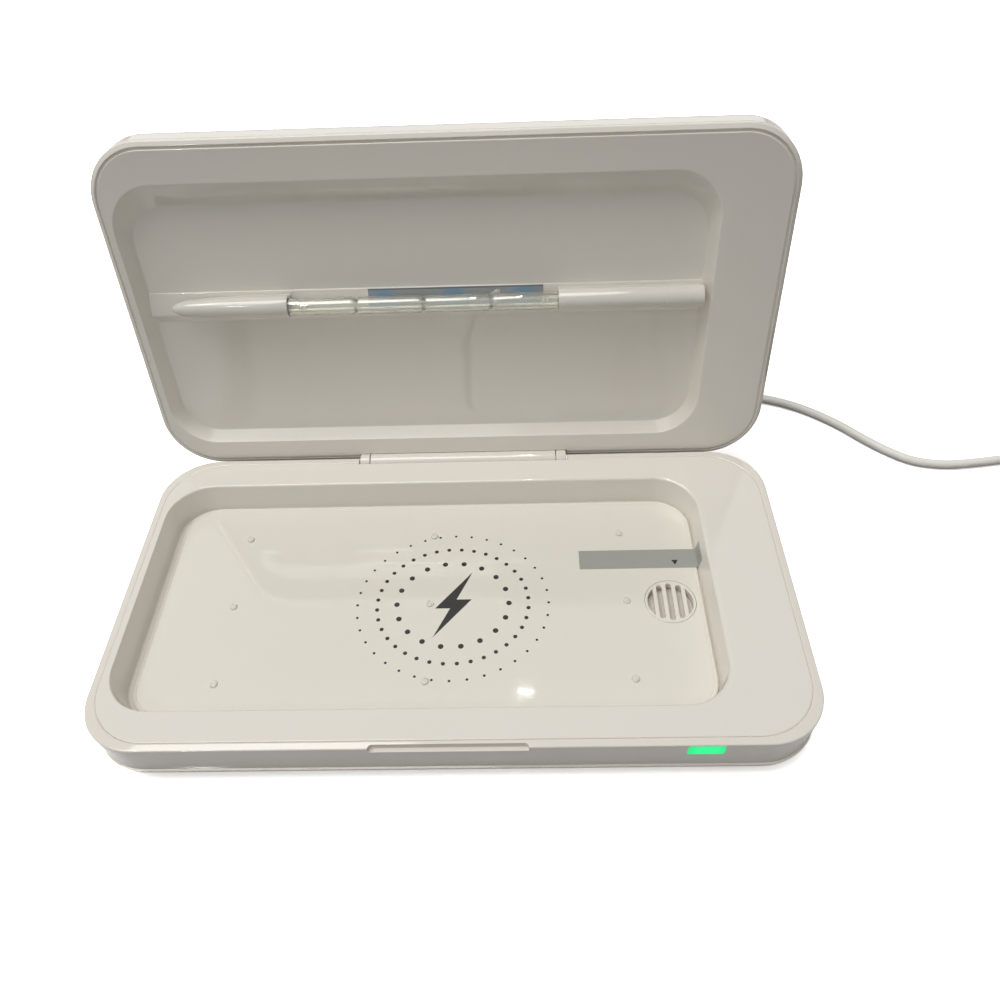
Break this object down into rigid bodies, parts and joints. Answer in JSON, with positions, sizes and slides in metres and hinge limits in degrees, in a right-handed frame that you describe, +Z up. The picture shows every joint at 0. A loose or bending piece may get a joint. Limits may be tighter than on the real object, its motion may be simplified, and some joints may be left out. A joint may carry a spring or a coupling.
{
  "type": "uv sanitizer box for phones",
  "caption": "Shallow white phone sanitizer box: hinged lid with a lamp, charging tray with bumps, aroma grille, green light bar, start button and power cord",
  "frame": {"origin": "on the table, under the middle of the base's footprint", "axes": "+X right along the hinge, +Y back from the front edge to the hinge, +Z up"},
  "size_m": [0.3875, 0.1732, 0.1353],
  "materials": {
    "shell_white": "glossy moulded white",
    "tray_white": "glossy moulded white",
    "inner_pale": "plain moulded",
    "bump_clear": "clear soft silicone",
    "coil_copper": "lacquered winding",
    "ferrite": "dull sheet",
    "board_green": "solder mask",
    "black_plastic": "plain moulded",
    "light_green": "lit clear green",
    "felt": "felt",
    "strip_grey": "printed film",
    "foot_rubber": "matt rubber",
    "steel": "plated",
    "glass_tube": "clear glass",
    "grommet": "silicone",
    "strip_blue": "printed film",
    "button_white": "satin moulded",
    "tie_cloth": "woven band",
    "cord_white": "soft jacket"
  },
  "bodies": {
    "base": {"base_shell": "shell_white", "bottom_cover": "inner_pale", "tray_bezel": "tray_white", "charging_plate": "tray_white", "phone_bumps": "bump_clear", "charge_coil": "coil_copper", "ferrite_sheet": "ferrite", "charger_board": "board_green", "control_board": "board_green", "lid_sensor": "black_plastic", "indicator_light": "light_green", "indicator_board": "board_green", "aroma_grille": "tray_white", "aroma_reservoir": "inner_pale", "aroma_pad": "felt", "instruction_strip": "strip_grey", "power_socket": "black_plastic", "rubber_feet": "foot_rubber", "base_screws": "steel", "power_plug": "cord_white", "plug_barrel": "steel", "cord_lead": "cord_white", "cord_coil": "cord_white", "cord_tail": "cord_white", "cord_tie": "tie_cloth", "usb_plug": "cord_white", "usb_shell": "steel"},
    "lid": {"lid_cover": "shell_white", "lid_liner": "tray_white", "lamp_tube": "glass_tube", "lamp_electrodes": "steel", "lamp_grommets": "grommet", "lamp_cover_left": "tray_white", "lamp_cover_right": "tray_white", "lamp_strip": "strip_blue", "lamp_board": "board_green", "lid_magnet": "steel", "hinge_pins": "steel", "button_board": "board_green"},
    "button": {"start_button": "button_white"}
  },
  "joints": [
    {"name": "lid_hinge", "type": "hinge", "parent": "base", "child": "lid", "pos_m": [0, 0.0584, 0.0204], "axis": [1, 0, 0], "range_deg": [0, 100.45]},
    {"name": "start_button_press", "type": "slide", "parent": "lid", "child": "button", "axis": [0, -0.9834, 0.1814], "range_m": [0, 0.0008], "stiffness_N_per_m": 400}
  ]
}
